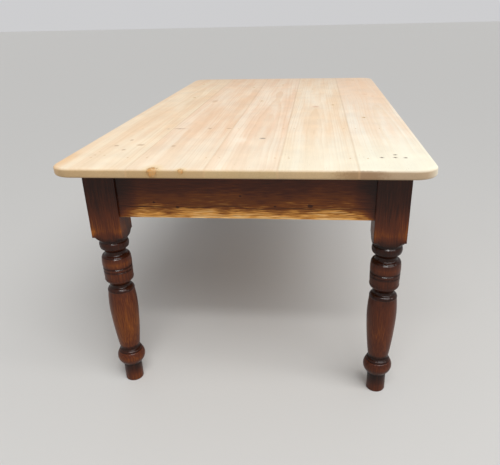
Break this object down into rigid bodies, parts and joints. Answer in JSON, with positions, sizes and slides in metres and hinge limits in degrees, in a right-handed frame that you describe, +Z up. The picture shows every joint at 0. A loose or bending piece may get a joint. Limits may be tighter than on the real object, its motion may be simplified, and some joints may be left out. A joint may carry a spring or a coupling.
{
  "type": "farmhouse table",
  "caption": "Rectangular plank-top dining table with rounded corners on turned legs, with tenoned end and side rails, cross bearers and corner braces.",
  "frame": {"origin": "on the floor, under the middle of the table top", "axes": "+X to the right seen from the near end, +Y along the table away from that end, +Z up"},
  "size_m": [0.99, 1.838, 0.76],
  "materials": {
    "scrubbed_pine": "pale scrubbed pine, waxed to a soft sheen",
    "stained_pine": "pine stained dark brown and polished, worn through along the end rail's lower edge",
    "bare_pine": "sawn and planed pine without finish, darkened with age",
    "beech": "plain turned beech dowel",
    "screw_steel": "dull steel wood screws",
    "nail_steel": "dull iron wire nails",
    "stopping": "dark wax and putty stopping"
  },
  "bodies": {
    "root": {"top_board_1": "scrubbed_pine", "top_board_2": "scrubbed_pine", "top_board_3": "scrubbed_pine", "top_board_4": "scrubbed_pine", "top_board_5": "scrubbed_pine", "leg_near_left": "stained_pine", "corner_brace_near_left": "bare_pine", "leg_near_right": "stained_pine", "corner_brace_near_right": "bare_pine", "leg_far_right": "stained_pine", "corner_brace_far_right": "bare_pine", "leg_far_left": "stained_pine", "corner_brace_far_left": "bare_pine", "end_rail_near": "stained_pine", "end_rail_far": "stained_pine", "side_rail_left": "stained_pine", "side_rail_right": "stained_pine", "cross_bearer_near": "bare_pine", "cross_bearer_far": "bare_pine", "edge_dowels": "beech", "brace_screws": "screw_steel", "top_nails": "nail_steel", "nail_stopping": "stopping"}
  },
  "joints": []
}
